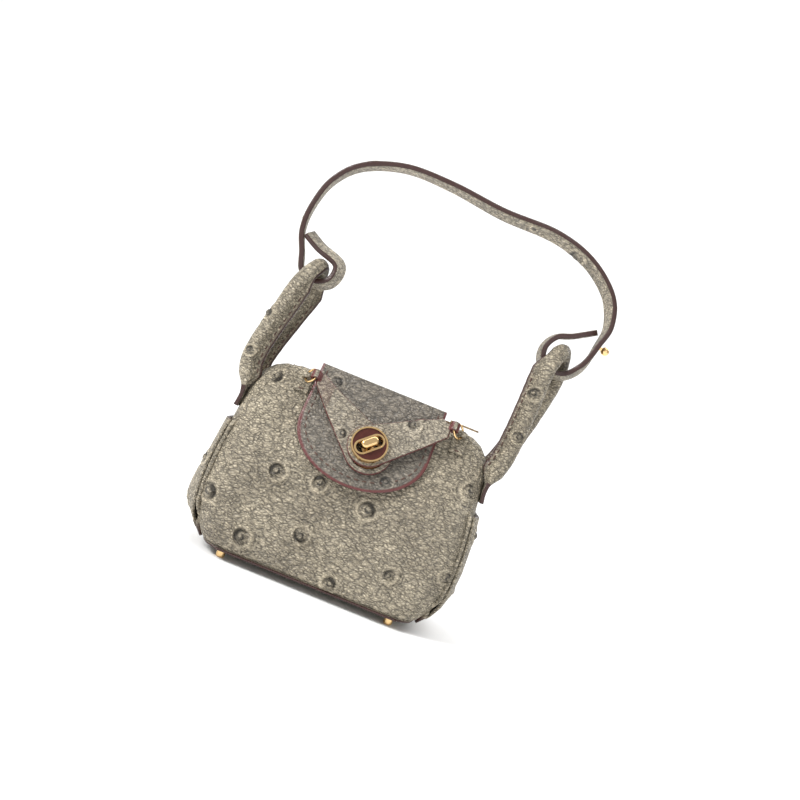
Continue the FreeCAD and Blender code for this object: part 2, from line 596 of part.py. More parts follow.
# ---- write every piece ------------------------------------------------------------------------
def build():
    parts = shell_pieces()
    parts.update({
        "base_board": base_board(),
        "lining": lining(),
        "left_side_pocket": side_pocket(-1),
        "right_side_pocket": side_pocket(1),
        "feet": feet(),
        "foot_washers": foot_washers(),
        "front_zip_tape": zip_tape(-1),
        "back_zip_tape": zip_tape(1),
        "front_zip_teeth": zip_teeth(-1),
        "back_zip_teeth": zip_teeth(1),
        "zip_stops": zip_stops(),
        "zip_slider": zip_slider(),
        "zip_pull": zip_pull(),
        "flap": flap(),
        "flap_eyelet": flap_eyelet(),
        "flap_root": flap_root(),
        "left_ring_tab": ring_tab(LEFT_RING, -1),
        "right_ring_tab": ring_tab(RIGHT_RING, 1),
        "left_ring": ring_solid(LEFT_RING, -1),
        "right_ring": ring_solid(RIGHT_RING, 1),
        "left_closing_strap": left_closing_strap(),
        "right_closing_strap": right_closing_strap(),
        "left_slot_plate": left_slot_plate(),
        "right_slot_plate": right_slot_plate(),
        "plate_inset": plate_inset(),
        "lock_base": lock_base(),
        "lock_washer": lock_washer(),
        "lock_toggle": lock_toggle(),
        "left_handle": handle_cover(LEFT_HANDLE),
        "right_handle": handle_cover(RIGHT_HANDLE),
        "left_handle_core": handle_core(LEFT_HANDLE),
        "right_handle_core": handle_core(RIGHT_HANDLE),
        "left_handle_tabs": handle_tabs(LEFT_HANDLE),
        "right_handle_tabs": handle_tabs(RIGHT_HANDLE),
        "shoulder_strap": shoulder_strap(),
        "strap_stud": strap_stud(),
    })
    return parts


def main():
    os.makedirs("parts", exist_ok=True)
    for name, shape in build().items():
        shape.exportStep("parts/%s.step" % name)
        box_ = shape.BoundBox
        print("%-20s solids %d valid %s volume %9.2f  x %6.1f %6.1f  y %6.1f %6.1f  z %6.1f %6.1f" % (
            name, len(shape.Solids), shape.isValid(), shape.Volume, box_.XMin, box_.XMax, box_.YMin, box_.YMax,
            box_.ZMin, box_.ZMax))


if __name__ == "__main__":
    main()
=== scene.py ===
"""Miniature leather carry case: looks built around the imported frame.
"""

import json
import math

import bmesh
import bpy
import numpy as np
from mathutils import Matrix, Vector, noise


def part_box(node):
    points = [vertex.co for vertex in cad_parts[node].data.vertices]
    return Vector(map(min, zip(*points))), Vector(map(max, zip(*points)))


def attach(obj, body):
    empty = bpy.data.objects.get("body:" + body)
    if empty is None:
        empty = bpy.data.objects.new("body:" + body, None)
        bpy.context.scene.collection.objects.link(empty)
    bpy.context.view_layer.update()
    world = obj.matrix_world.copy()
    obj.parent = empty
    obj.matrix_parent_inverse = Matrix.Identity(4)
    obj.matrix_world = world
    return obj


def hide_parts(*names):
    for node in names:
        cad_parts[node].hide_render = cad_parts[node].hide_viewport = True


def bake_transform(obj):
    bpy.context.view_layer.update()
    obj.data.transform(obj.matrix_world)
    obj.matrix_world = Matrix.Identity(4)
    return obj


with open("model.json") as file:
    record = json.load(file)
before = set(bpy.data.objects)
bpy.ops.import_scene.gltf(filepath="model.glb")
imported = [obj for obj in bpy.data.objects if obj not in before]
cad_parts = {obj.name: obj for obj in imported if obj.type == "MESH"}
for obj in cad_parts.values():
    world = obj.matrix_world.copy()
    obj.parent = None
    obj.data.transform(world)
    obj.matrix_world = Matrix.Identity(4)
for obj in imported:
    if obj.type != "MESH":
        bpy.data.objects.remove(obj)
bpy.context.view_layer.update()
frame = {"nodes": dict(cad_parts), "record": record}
MM = 0.001


# ---- studio ---------------------------------------------------------------------------------
# A pale sweep of paper stands under and behind the case. Soft boxes light it from the upper
# left and the front, and a pale room fills the shadows.
SWEEP_HALF_WIDTH, SWEEP_NEAR, SWEEP_FAR, SWEEP_RADIUS, SWEEP_TOP = 2.4, -1.2, 0.75, 0.5, 2.2
PAPER_GREY, ROOM_LIGHT = 0.86, 0.55


def paper_sweep():
    """Floor that curves up into a wall."""
    profile = [(SWEEP_NEAR, 0.0), (SWEEP_FAR, 0.0)]
    profile += [(SWEEP_FAR + SWEEP_RADIUS * math.sin(a), SWEEP_RADIUS - SWEEP_RADIUS * math.cos(a))
                for a in np.linspace(0.1, math.pi / 2, 14)]
    profile += [(SWEEP_FAR + SWEEP_RADIUS, SWEEP_TOP)]
    verts = [(x, y, z) for y, z in profile for x in (-SWEEP_HALF_WIDTH, SWEEP_HALF_WIDTH)]
    faces = [(2 * i, 2 * i + 1, 2 * i + 3, 2 * i + 2) for i in range(len(profile) - 1)]
    mesh = bpy.data.meshes.new("paper_sweep")
    mesh.from_pydata(verts, [], faces)
    mesh.polygons.foreach_set("use_smooth", [True] * len(faces))
    paper = bpy.data.materials.new("pale_paper")
    paper.use_nodes = True
    surface = paper.node_tree.nodes["Principled BSDF"].inputs
    surface["Base Color"].default_value = (PAPER_GREY, PAPER_GREY, PAPER_GREY, 1)
    surface["Roughness"].default_value = 0.9
    mesh.materials.append(paper)
    sweep = bpy.data.objects.new("paper_sweep", mesh)
    bpy.context.collection.objects.link(sweep)


def soft_box(name, place, aim, size, power):
    """Square area light turned towards aim."""
    light = bpy.data.lights.new(name, "AREA")
    light.size, light.energy = size, power
    lamp = bpy.data.objects.new(name, light)
    lamp.location = place
    lamp.rotation_euler = (Vector(aim) - Vector(place)).to_track_quat("-Z", "Y").to_euler()
    bpy.context.collection.objects.link(lamp)


paper_sweep()
MIDDLE = (0.005, 0.0, 0.06)
soft_box("key", (-0.60, -0.35, 0.60), MIDDLE, 0.30, 9.0)
soft_box("front_fill", (0.35, -0.9, 0.30), MIDDLE, 0.7, 2.0)
soft_box("wall_wash", (0.0, 0.1, 1.7), (0.0, 1.25, 0.7), 1.4, 22.0)
soft_box("rim", (0.5, 0.45, 0.6), MIDDLE, 0.4, 3.0)
world = bpy.data.worlds.new("room")
world.use_nodes = True
room = world.node_tree.nodes["Background"].inputs
room["Color"].default_value, room["Strength"].default_value = (1.0, 1.0, 1.0, 1), ROOM_LIGHT
bpy.context.scene.world = world
bpy.context.scene.view_settings.view_transform = "Standard"

FRONT_PLANE, CAMERA_DISTANCE, CAMERA_ROLL = -0.0192, 0.255, 22.0
CAMERA_SIDE, CAMERA_HEIGHT, SENSOR_WIDTH, LENS = 0.0057, 0.0651, 36.0, 38.25
camera_data = bpy.data.cameras.new("camera")
camera_data.sensor_width, camera_data.lens = SENSOR_WIDTH, LENS
camera_data.clip_start, camera_data.clip_end = 0.01, 20.0
camera = bpy.data.objects.new("camera", camera_data)
camera.location = (CAMERA_SIDE, FRONT_PLANE - CAMERA_DISTANCE, CAMERA_HEIGHT)
camera.rotation_euler = (Matrix.Rotation(math.pi / 2, 3, "X")
                         @ Matrix.Rotation(math.radians(CAMERA_ROLL), 3, "Z")).to_euler()
bpy.context.collection.objects.link(camera)
bpy.context.scene.camera = camera


# ---- leather shell ----------------------------------------------------------------------------
# Front, back, two gussets and the base: soft taupe leather with a fine crease grain and raised
# quill bumps, cut out, turned at the edges and sewn together along the corners.
class Value:
    """One output of a shader node; arithmetic on it adds Math nodes."""

    def __init__(self, shade, socket):
        self.shade, self.socket = shade, socket

    def math(self, operation, *values):
        return self.shade.node("ShaderNodeMath", dict(enumerate(values)), operation=operation)

    def __add__(self, other): return self.math("ADD", self, other)
    def __radd__(self, other): return self.math("ADD", other, self)
    def __sub__(self, other): return self.math("SUBTRACT", self, other)
    def __rsub__(self, other): return self.math("SUBTRACT", other, self)
    def __mul__(self, other): return self.math("MULTIPLY", self, other)
    def __rmul__(self, other): return self.math("MULTIPLY", other, self)


class Shade:
    """A material and the nodes that feed its surface."""

    def __init__(self, name, **constants):
        self.material = bpy.data.materials.new(name)
        self.material.use_nodes = True
        self.tree = self.material.node_tree
        self.surface = self.tree.nodes["Principled BSDF"]
        self.feed(self.surface, {k.replace("_", " "): v for k, v in constants.items()})

    def feed(self, node, inputs):
        for key, value in inputs.items():
            if isinstance(value, Value):
                self.tree.links.new(value.socket, node.inputs[key])
            else:
                node.inputs[key].default_value = value

    def node(self, kind, inputs=None, output=0, **settings):
        made = self.tree.nodes.new(kind)
        for key, value in settings.items():
            setattr(made, key, value)
        self.feed(made, inputs or {})
        return Value(self, made.outputs[output])

    def blend_colour(self, factor, low, high):
        return self.node("ShaderNodeMix", {0: factor, 6: low, 7: high}, 2, data_type="RGBA")


def leather_shade(name, pale, deep, painted, grain=1.0):
    """Creased leather. Attributes: paint covers the cut edges; away and inner are distances (mm) from
    the nearest quill and from its off-centre nub, and side says which way round it a point lies."""
    shade = Shade(name, Specular_IOR_Level=0.5)
    place = shade.node("ShaderNodeTexCoord", output=3)
    drift = shade.node("ShaderNodeTexNoise", {"Vector": place, "Scale": 45.0, "Detail": 3.0, "Roughness": 0.6})
    warp = shade.node("ShaderNodeTexNoise", {"Vector": place, "Scale": 230.0, "Detail": 3.0}, 1)
    bent = shade.node("ShaderNodeVectorMath", {0: warp, 3: 0.0016}, operation="SCALE")
    bent = shade.node("ShaderNodeVectorMath", {0: place, 1: bent}, operation="ADD")
    drawn = shade.node("ShaderNodeMapping", {"Vector": bent, "Rotation": (0.0, math.radians(20), 0.0),
                                             "Scale": (0.58, 0.8, 1.15)})
    cells, long_cells = (shade.node("ShaderNodeTexVoronoi", {"Vector": drawn, "Scale": scale},
                                    feature="DISTANCE_TO_EDGE") for scale in (1250.0, 520.0))
    streak = shade.node("ShaderNodeTexNoise",
                        {"Vector": drawn, "Scale": 1500.0, "Detail": 4.0, "Roughness": 0.65})
    veins = shade.node("ShaderNodeTexNoise",
                       {"Vector": drawn, "Scale": 620.0, "Detail": 3.0, "Roughness": 0.5})
    vein = 1.0 - veins.math("MINIMUM", veins.math("ABSOLUTE", veins - 0.5) * 11.0, 1.0)
    crease = cells.math("MINIMUM", cells * 3.2, 1.0)
    fold = long_cells.math("MINIMUM", long_cells * 3.0, 1.0)

    away, inner, side, paint = (shade.node("ShaderNodeAttribute", output=2, attribute_name=label)
                                for label in ("away", "inner", "side", "paint"))

    def band(value, centre, width):
        """One at centre, falling to nought at width on either side."""
        return value.math("MAXIMUM", 1.0 - value.math("ABSOLUTE", value - centre) * (1.0 / width), 0.0)

    wobble = (drift - 0.5) * 2.2 + (streak - 0.5) * 1.3
    # rim and nub paint shade into each quill's pit ring and round its nub, heavier on one side; halo paints a
    # highlight ring on the mound; ripple is the ring of small creases round it.
    rim = band(away + wobble * 0.5, 1.5, 0.60) * (0.70 + 0.70 * side)
    nub = band(inner + wobble * 0.4, 0.70, 0.40) * (1.0 - 0.5 * side)
    dark = rim.math("MINIMUM", rim + nub, 1.0)
    halo = band(away, 2.5, 0.6) * (0.6 - 0.4 * side)
    waves = away.math("SINE", (away + wobble) * (2 * math.pi / 0.95))
    ripple = waves * band(away, 3.7, 2.6) * (0.55 - 0.45 * side)

    body = shade.blend_colour(drift.math("MULTIPLY_ADD", drift, 2.4, -0.7), (*deep, 1), (*pale, 1))
    height = crease * 1.1 + fold * 1.0 + streak * 0.25 - vein * 0.3 + ripple * 0.5 - dark * 1.2 + halo * 0.7
    # The colour follows the relief: it is darkened in the creases, folds, veins, quill pits and ripple troughs
    # as painted shade, and lightened on the halos and ripple crests as painted highlight. The streak term is
    # the grain's own tone.
    grain_tone_and_painted_light = crease * 0.58 + fold * 0.46 + streak * 0.24 - vein * 0.12 + ripple * 0.18 + halo * 0.60 + 0.15
    lit = shade.node("ShaderNodeVectorMath", {0: body, 3: grain_tone_and_painted_light}, operation="SCALE")
    # The quill pit rings are blended towards near-black: painted shade.
    pitted = shade.blend_colour(dark * 0.97, lit, (*[c * 0.10 for c in deep], 1))
    shade.feed(shade.surface, {"Base Color": shade.blend_colour(paint, pitted, (*painted, 1))})
    rough = 0.62 - streak * 0.16 - crease * 0.10
    shade.feed(shade.surface, {"Roughness": rough + paint * (0.38 - rough)})
    bump = shade.node("ShaderNodeBump", {"Height": height * (1 - paint * 0.9), "Strength": 0.9 * grain,
                                         "Distance": 0.00050})
    shade.feed(shade.surface, {"Normal": bump})
    return shade.material


TAUPE_PALE, TAUPE_DEEP = (0.50, 0.435, 0.32), (0.32, 0.272, 0.197)
BURGUNDY, ROSE_EDGE = (0.034, 0.011, 0.008), (0.092, 0.022, 0.020)
panel_leather = leather_shade("taupe_leather", TAUPE_PALE, TAUPE_DEEP, BURGUNDY)

FAR = 8.0          # distance given to a point with no quill near it
QUILL_SIZE = 1.8   # size of the quill that the shader's bands are drawn for


def quill_field(points, normals, quills, look):
    """Height (mm) of the quill bumps seen along look, and the distances the leather shader reads."""
    look = np.array(look, float)
    facing = np.clip((normals @ look) * 2.5 - 0.4, 0, 1)
    flat = points - np.outer(points @ look, look)
    rise = np.zeros(len(points))
    away, inner, turned = np.full(len(points), FAR), np.full(len(points), FAR), np.zeros(len(points))
    sideways = np.cross(look, (0.0, 0.0, 1.0)) if abs(look[2]) < 0.9 else np.array((1.0, 0.0, 0.0))
    upward = np.cross(sideways, look)
    for place, size, turn in quills:
        centre = np.array(place, float)
        offset = flat - (centre - look * (centre @ look))
        a, b = offset @ sideways / size, offset @ upward / size
        reach = np.hypot(a, b)
        cosine = (a * math.cos(turn) + b * math.sin(turn)) / np.maximum(reach, 1e-6)
        nub_reach = np.hypot(a - 0.18 * math.cos(turn), b - 0.18 * math.sin(turn))
        mound = 0.50 * np.exp(-(reach / 1.25) ** 2) + 0.20 * np.exp(-((reach - 1.4) / 0.25) ** 2)
        nub = 0.21 * (1 - np.tanh((nub_reach - 0.55) / 0.16))
        pit = 0.34 * np.exp(-((reach - 0.84) / 0.18) ** 2) * (0.5 + 0.5 * cosine)
        rise += (mound + nub - pit) * size / QUILL_SIZE
        closer = reach * QUILL_SIZE < away
        away = np.where(closer, reach * QUILL_SIZE, away)
        inner = np.where(closer, nub_reach * QUILL_SIZE, inner)
        turned = np.where(closer, cosine, turned)
    away = np.where(facing > 0.3, away, FAR)
    return rise * facing, {"away": away, "inner": np.where(away < FAR, inner, FAR), "side": turned}


def mark(mesh, paint, marks=None):
    """Stores what the leather shader reads."""
    count = len(mesh.vertices)
    fields = {"away": np.full(count, FAR), "inner": np.full(count, FAR), "side": np.zeros(count),
              "paint": paint}
    fields.update(marks or {})
    for label, values in fields.items():
        layer = mesh.attributes.get(label) or mesh.attributes.new(label, "FLOAT", "POINT")
        layer.data.foreach_set("value", np.ravel(values))


def body_softness(points):
    """Slow swells of the filled body; still near the lock, the rings and the mouth. Movement in mm."""
    calm = np.clip((40.0 - points[:, 2]) / 14.0, 0, 1) * np.clip((points[:, 2] - 3.0) / 9.0, 0, 1)
    swell = np.array([noise.noise(Vector(p) * 0.055) for p in points])
    ripple = np.array([noise.noise(Vector((p[0] * 0.10 + p[2] * 0.05, p[1] * 0.1, p[2] * 0.24 - p[0] * 0.07)))
                       for p in points])
    out = points * (0.15, 1.0, 0.0)
    out /= np.maximum(np.linalg.norm(out, axis=1), 6.0)[:, None]
    return out * ((swell * 0.9 + ripple * 0.32) * calm)[:, None]


def leather_piece(name, nodes, body, voxel, quills=(), look=(0, -1, 0), edge=None, soft=None, extra=None,
                  material=None, smooth=5, blend=None):
    """Leather cut on the pattern of the named nodes, with soft edges, quills and edge paint."""
    bm = bmesh.new()
    for node in nodes:
        bm.from_mesh(frame["nodes"][node].data)
    if extra:
        extra(bm)
    mesh = bpy.data.meshes.new(name + "_pattern")
    bm.to_mesh(mesh)
    bm.free()
    piece = bpy.data.objects.new(name, mesh)
    bpy.context.collection.objects.link(piece)
    remesh = piece.modifiers.new("cut", "REMESH")
    remesh.mode, remesh.voxel_size, remesh.adaptivity = "VOXEL", voxel * MM, 0.0
    relax = piece.modifiers.new("relax", "SMOOTH")
    relax.iterations, relax.factor = smooth, 0.5
    bpy.context.view_layer.update()
    made = bpy.data.meshes.new_from_object(piece.evaluated_get(bpy.context.evaluated_depsgraph_get()))
    piece.modifiers.clear()
    piece.data = made
    made.name = name
    count = len(made.vertices)
    points, normals = np.empty(count * 3), np.empty(count * 3)
    made.vertices.foreach_get("co", points)
    made.vertex_normals.foreach_get("vector", normals)
    points, normals = points.reshape(-1, 3) / MM, normals.reshape(-1, 3)
    paint = edge(points, normals) if edge else np.zeros(count)
    rise, marks = quill_field(points, normals, quills, look)
    moved = points + normals * rise[:, None]
    if soft is not None:
        moved += soft(points)
    made.vertices.foreach_set("co", (moved * MM).ravel())
    mark(made, paint, marks)
    made.polygons.foreach_set("use_smooth", [True] * len(made.polygons))
    made.materials.clear()
    made.materials.append(material or panel_leather)
    made.update()
    if blend:
        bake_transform(piece)
    else:
        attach(piece, body)
    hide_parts(*nodes)


def low_edge(points, normals):
    """Edge paint along the seam round the base."""
    return np.clip((3.35 - points[:, 2]) / 0.3, 0, 1) * np.clip(1.2 + normals[:, 2], 0, 1)


def base_edge(points, normals):
    """Edge paint round the rim of the base."""
    return np.clip(1 - abs(normals[:, 2]) * 1.6, 0, 1)


FRONT_QUILLS = (((-20.5, 0, 31.5), 2.2, 0.4), ((-7.3, 0, 32.9), 2.0, 1.2), ((9.0, 0, 30.7), 2.3, 2.3),
                ((-37.4, 0, 18.1), 2.4, 2.6), ((-22.9, 0, 9.3), 2.3, 0.3), ((-6.6, 0, 16.4), 2.1, 5.2),
                ((22.5, 0, 14.9), 1.8, 0.6), ((6.6, 0, 5.9), 2.0, 1.9), ((36.0, 0, 46.9), 2.0, 2.2),
                ((38.6, 0, 20.3), 1.6, 3.1), ((-33.0, 0, 57.6), 2.0, 3.6))
BACK_QUILLS = (((-27.0, 0, 33.0), 2.2, 0.9), ((-9.5, 0, 39.0), 2.1, 3.4), ((8.0, 0, 27.0), 2.3, 1.5),
               ((26.0, 0, 36.0), 2.2, 5.0), ((-18.0, 0, 15.0), 2.2, 2.4), ((2.5, 0, 10.5), 2.0, 0.2),
               ((24.0, 0, 17.0), 2.2, 4.1), ((-34.0, 0, 49.0), 1.8, 1.1), ((33.0, 0, 52.0), 1.8, 2.7))
leather_piece("front_leather", ["front_panel"], "case", 0.38, FRONT_QUILLS, (0, -1, 0), low_edge, body_softness)
leather_piece("back_leather", ["back_panel"], "case", 0.42, BACK_QUILLS, (0, 1, 0), low_edge, body_softness)
leather_piece("base_leather", ["base_panel"], "case", 0.5, edge=base_edge)
SIDE_QUILLS = (((0, -3.0, 49.0), 1.5, 0.8),)
for gusset_side, gusset in ((-1, "left_gusset"), (1, "right_gusset")):
    leather_piece(f"{gusset}_leather", [gusset], "case", 0.42, SIDE_QUILLS, (gusset_side, 0, 0), low_edge,
                  body_softness)


# ---- side pockets -------------------------------------------------------------------------------
# A slip pocket of the same leather covers the lower part of each gusset. Its top edge is cut
# straight and painted burgundy, and its sides are caught in the corner seams.
def pocket_edge(points, normals):
    """Paint on the straight top edge of a pocket."""
    return np.clip((points[:, 2] - 39.6) / 0.3, 0, 1) * np.clip(abs(normals[:, 2]) * 3 - 0.9, 0, 1)


LEFT_POCKET_QUILLS = (((0, -12.0, 26.3), 1.7, 1.0), ((0, -1.5, 31.0), 2.1, 4.0), ((0, 7.0, 16.0), 2.1, 2.0),
                      ((0, -6.5, 12.0), 1.8, 0.5))
RIGHT_POCKET_QUILLS = (((0, -10.5, 34.5), 1.7, 2.0), ((0, 3.0, 27.0), 2.1, 1.0), ((0, -5.0, 15.0), 2.1, 3.0),
                       ((0, 9.5, 12.0), 1.8, 5.5))


def left_sag(points):
    """The left pocket hangs fuller low down; movement in mm."""
    sag = 2.1 * np.exp(-((points[:, 2] - 15.0) / 9.0) ** 2) * np.clip((points[:, 2] - 5.0) / 5.0, 0, 1)
    return np.outer(sag * np.clip((14.0 - abs(points[:, 1])) / 6.0, 0, 1), (-1.0, 0.0, 0.0))


leather_piece("left_pocket_leather", ["left_side_pocket"], "case", 0.36, LEFT_POCKET_QUILLS, (-1, 0, 0),
              pocket_edge, soft=left_sag)
leather_piece("right_pocket_leather", ["right_side_pocket"], "case", 0.36, RIGHT_POCKET_QUILLS, (1, 0, 0),
              pocket_edge)


# ---- corner welts ---------------------------------------------------------------------------------
# A thin turned edge runs up each corner between panel and gusset and round the base. It is
# painted burgundy low down, where its ends stick out as small points.
def tube_mesh(name, rings, paints, material, closed=False):
    """Skins rings of points (mm) into one piece; paints is a value per ring point."""
    rows, around = len(rings), len(rings[0])
    verts = [tuple(c * MM for c in p) for ring in rings for p in ring]
    faces = []
    for i in range(rows if closed else rows - 1):
        a, b = i * around, ((i + 1) % rows) * around
        faces += [(a + j, a + (j + 1) % around, b + (j + 1) % around, b + j) for j in range(around)]
    if not closed:
        faces += [tuple(reversed(range(around))), tuple(range((rows - 1) * around, rows * around))]
    mesh = bpy.data.meshes.new(name)
    mesh.from_pydata(verts, [], faces)
    mesh.polygons.foreach_set("use_smooth", [True] * len(faces))
    mark(mesh, paints)
    mesh.materials.append(material)
    bm = bmesh.new()
    bm.from_mesh(mesh)
    bmesh.ops.recalc_face_normals(bm, faces=bm.faces)
    bm.to_mesh(mesh)
    bm.free()
    piece = bpy.data.objects.new(name, mesh)
    bpy.context.collection.objects.link(piece)
    return piece


def smooth_line(points, count):
    """Evenly spaced points on a soft curve through the given ones."""
    points = np.array(points, float)
    ends = np.vstack([2 * points[0] - points[1], points, 2 * points[-1] - points[-2]])
    fine = []
    for i in range(len(points) - 1):
        a, b, c, d = ends[i:i + 4]
        for t in np.linspace(0, 1, 24, endpoint=False):
            fine.append(0.5 * (2 * b + (c - a) * t + (2 * a - 5 * b + 4 * c - d) * t ** 2
                               + (3 * b - a - 3 * c + d) * t ** 3))
    fine = np.array(fine + [points[-1]])
    travelled = np.concatenate([[0], np.cumsum(np.linalg.norm(np.diff(fine, axis=0), axis=1))])
    marks = np.linspace(0, travelled[-1], count)
    return np.array([np.interp(marks, travelled, fine[:, k]) for k in range(3)]).T


def directions(line):
    """Unit directions along a line of points."""
    ways = np.gradient(line, axis=0)
    return ways / np.linalg.norm(ways, axis=1)[:, None]


def mesh_points(mesh):
    """Corner points of a mesh, in mm."""
    return np.array([v.co for v in mesh.vertices]) / MM


SEAM_OFFSET, SAME_PLACE = 25.5, 0.06


def seam_line(node):
    """Outer corner points of a panel at its +X seam, where x - |y| is SEAM_OFFSET, low to high."""
    points = mesh_points(frame["nodes"][node].data)
    on_seam = points[abs(points[:, 0] - abs(points[:, 1]) - SEAM_OFFSET) < SAME_PLACE]
    picked = []
    for level in sorted(set(np.round(on_seam[:, 2], 1))):
        ring = on_seam[abs(on_seam[:, 2] - level) < SAME_PLACE]
        picked.append(ring[ring[:, 0].argmax()])
    return np.array(picked)


WELT_RADIUS, WELT_TOP, WELT_STEP, WELT_ROWS, WELT_AROUND = 0.55, 61.5, 2.2, 90, 10


def corner_welt(name, node, side):
    """Turned edge up one seam, fuller beside the pocket, with a point at its foot."""
    line = seam_line(node)
    keep = [line[0]]
    for point in line[1:]:
        if point[2] - keep[-1][2] > WELT_STEP and point[2] < WELT_TOP:
            keep.append(point)
    line = smooth_line(keep, WELT_ROWS)
    line[:, 0] *= side
    ways = directions(line)
    rings, paints = [], []
    for k, (point, way) in enumerate(zip(line, ways)):
        out = np.array((side, math.copysign(1.0, point[1]), 0.0))
        out -= way * (out @ way)
        out /= np.linalg.norm(out)
        across = np.cross(way, out)
        thick = WELT_RADIUS * (0.6 + 0.4 * min(1.0, (len(line) - k) / 12))
        beside_pocket = float(np.clip((41.0 - point[2]) / 2.0, 0, 1))
        beside_pocket *= float(np.clip((point[2] - 4.0) / 2.0, 0, 1))
        thick *= 1 + 0.35 * beside_pocket
        point = point + out * (0.45 * beside_pocket + 0.7 * math.exp(-(k / 3.0) ** 2) - 0.15)
        rings.append([point + thick * (math.cos(a) * out + math.sin(a) * across)
                      for a in np.linspace(0, 2 * math.pi, WELT_AROUND, endpoint=False)])
        paints.append([np.clip((7.5 - point[2]) / 2.5, 0, 1)] * WELT_AROUND)
    welt = tube_mesh(name, rings, paints, panel_leather)
    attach(welt, "case")


BASE_UNDERSIDE, BASE_CORNER, BASE_WELT_LEVEL, BASE_WELT_RADIUS, BASE_WELT_AROUND = 2.65, 9.0, 2.9, 0.36, 8


def base_welt():
    """Painted turned edge round the base."""
    points = mesh_points(frame["nodes"]["base_panel"].data)
    low = points[points[:, 2] < BASE_UNDERSIDE]
    half_x, half_y, radius = low[:, 0].max(), low[:, 1].max(), BASE_CORNER
    line = []
    for quarter, (sx, sy) in enumerate(((1, 1), (-1, 1), (-1, -1), (1, -1))):
        for a in np.linspace(0, math.pi / 2, 12):
            angle = a + quarter * math.pi / 2
            line.append((sx * (half_x - radius) + radius * math.cos(angle),
                         sy * (half_y - radius) + radius * math.sin(angle), BASE_WELT_LEVEL))
    line = smooth_line(line + line[:1], 260)[:-1]
    rings, paints = [], []
    for k, point in enumerate(line):
        way = line[(k + 1) % len(line)] - line[k - 1]
        way /= np.linalg.norm(way)
        out = np.cross(way, (0.0, 0.0, 1.0))
        rings.append([point + BASE_WELT_RADIUS * (math.cos(a) * out + math.sin(a) * np.array((0, 0, 1.0)))
                      + out * 0.12 for a in np.linspace(0, 2 * math.pi, BASE_WELT_AROUND, endpoint=False)])
        paints.append([1.0] * BASE_WELT_AROUND)
    welt = tube_mesh("base_welt", rings, paints, panel_leather, closed=True)
    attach(welt, "case")


for welt_side, welt_name in ((-1, "left"), (1, "right")):
    corner_welt(f"front_{welt_name}_welt", "front_panel", welt_side)
    corner_welt(f"back_{welt_name}_welt", "back_panel", welt_side)
base_welt()


# ---- stitches -------------------------------------------------------------------------------------
# Waxed dark brown thread in a saddle stitch: short raised dashes with a gap between them.
STITCH_PITCH, STITCH_LENGTH, STITCH_RADIUS, STITCH_AROUND = 2.4, 1.7, 0.24, 8


def thread_shade():
    shade = Shade("brown_thread", Roughness=0.7)
    place = shade.node("ShaderNodeTexCoord", output=3)
    ply = shade.node("ShaderNodeTexNoise", {"Vector": place, "Scale": 5200.0})
    shade.feed(shade.surface, {"Base Color": shade.blend_colour(ply, (0.045, 0.022, 0.016, 1),
                                                                (0.11, 0.062, 0.045, 1))})
    shade.feed(shade.surface, {"Normal": shade.node("ShaderNodeBump", {"Height": ply, "Distance": 0.00006})})
    return shade.material


brown_thread = thread_shade()


def stitches(name, line, outs, body):
    """Dashes along a line of points (mm); outs points away from the leather at each."""
    line, outs = np.array(line, float), np.array(outs, float)
    travelled = np.concatenate([[0], np.cumsum(np.linalg.norm(np.diff(line, axis=0), axis=1))])
    bm = bmesh.new()
    total = int(travelled[-1] / STITCH_PITCH)
    for i in range(total):
        mid = (i + 0.5) * travelled[-1] / total
        ends = [np.array([np.interp(m, travelled, line[:, k]) for k in range(3)])
                for m in (mid - STITCH_LENGTH / 2, mid, mid + STITCH_LENGTH / 2)]
        out = np.array([np.interp(mid, travelled, outs[:, k]) for k in range(3)])
        out /= np.linalg.norm(out)
        way = (ends[2] - ends[0]) / np.linalg.norm(ends[2] - ends[0])
        across = np.cross(way, out)
        rows = []
        for t in np.linspace(-1, 1, 7):
            girth = STITCH_RADIUS * math.sqrt(max(1 - t ** 4, 0.04))
            sink = -0.10 * t ** 2
            centre = ends[1] + way * (t * STITCH_LENGTH / 2) + out * sink
            rows.append([bm.verts.new(tuple((centre + girth * (math.cos(a) * across + math.sin(a) * out)) * MM))
                         for a in np.linspace(0, 2 * math.pi, STITCH_AROUND, endpoint=False)])
        for a, b in zip(rows, rows[1:]):
            for j in range(STITCH_AROUND):
                after = (j + 1) % STITCH_AROUND
                bm.faces.new((a[j], a[after], b[after], b[j]))
        bm.faces.new(reversed(rows[0]))
        bm.faces.new(rows[-1])
    bmesh.ops.recalc_face_normals(bm, faces=bm.faces)
    mesh = bpy.data.meshes.new(name)
    bm.to_mesh(mesh)
    bm.free()
    mesh.polygons.foreach_set("use_smooth", [True] * len(mesh.polygons))
    mesh.materials.append(brown_thread)
    piece = bpy.data.objects.new(name, mesh)
    bpy.context.collection.objects.link(piece)
    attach(piece, body)


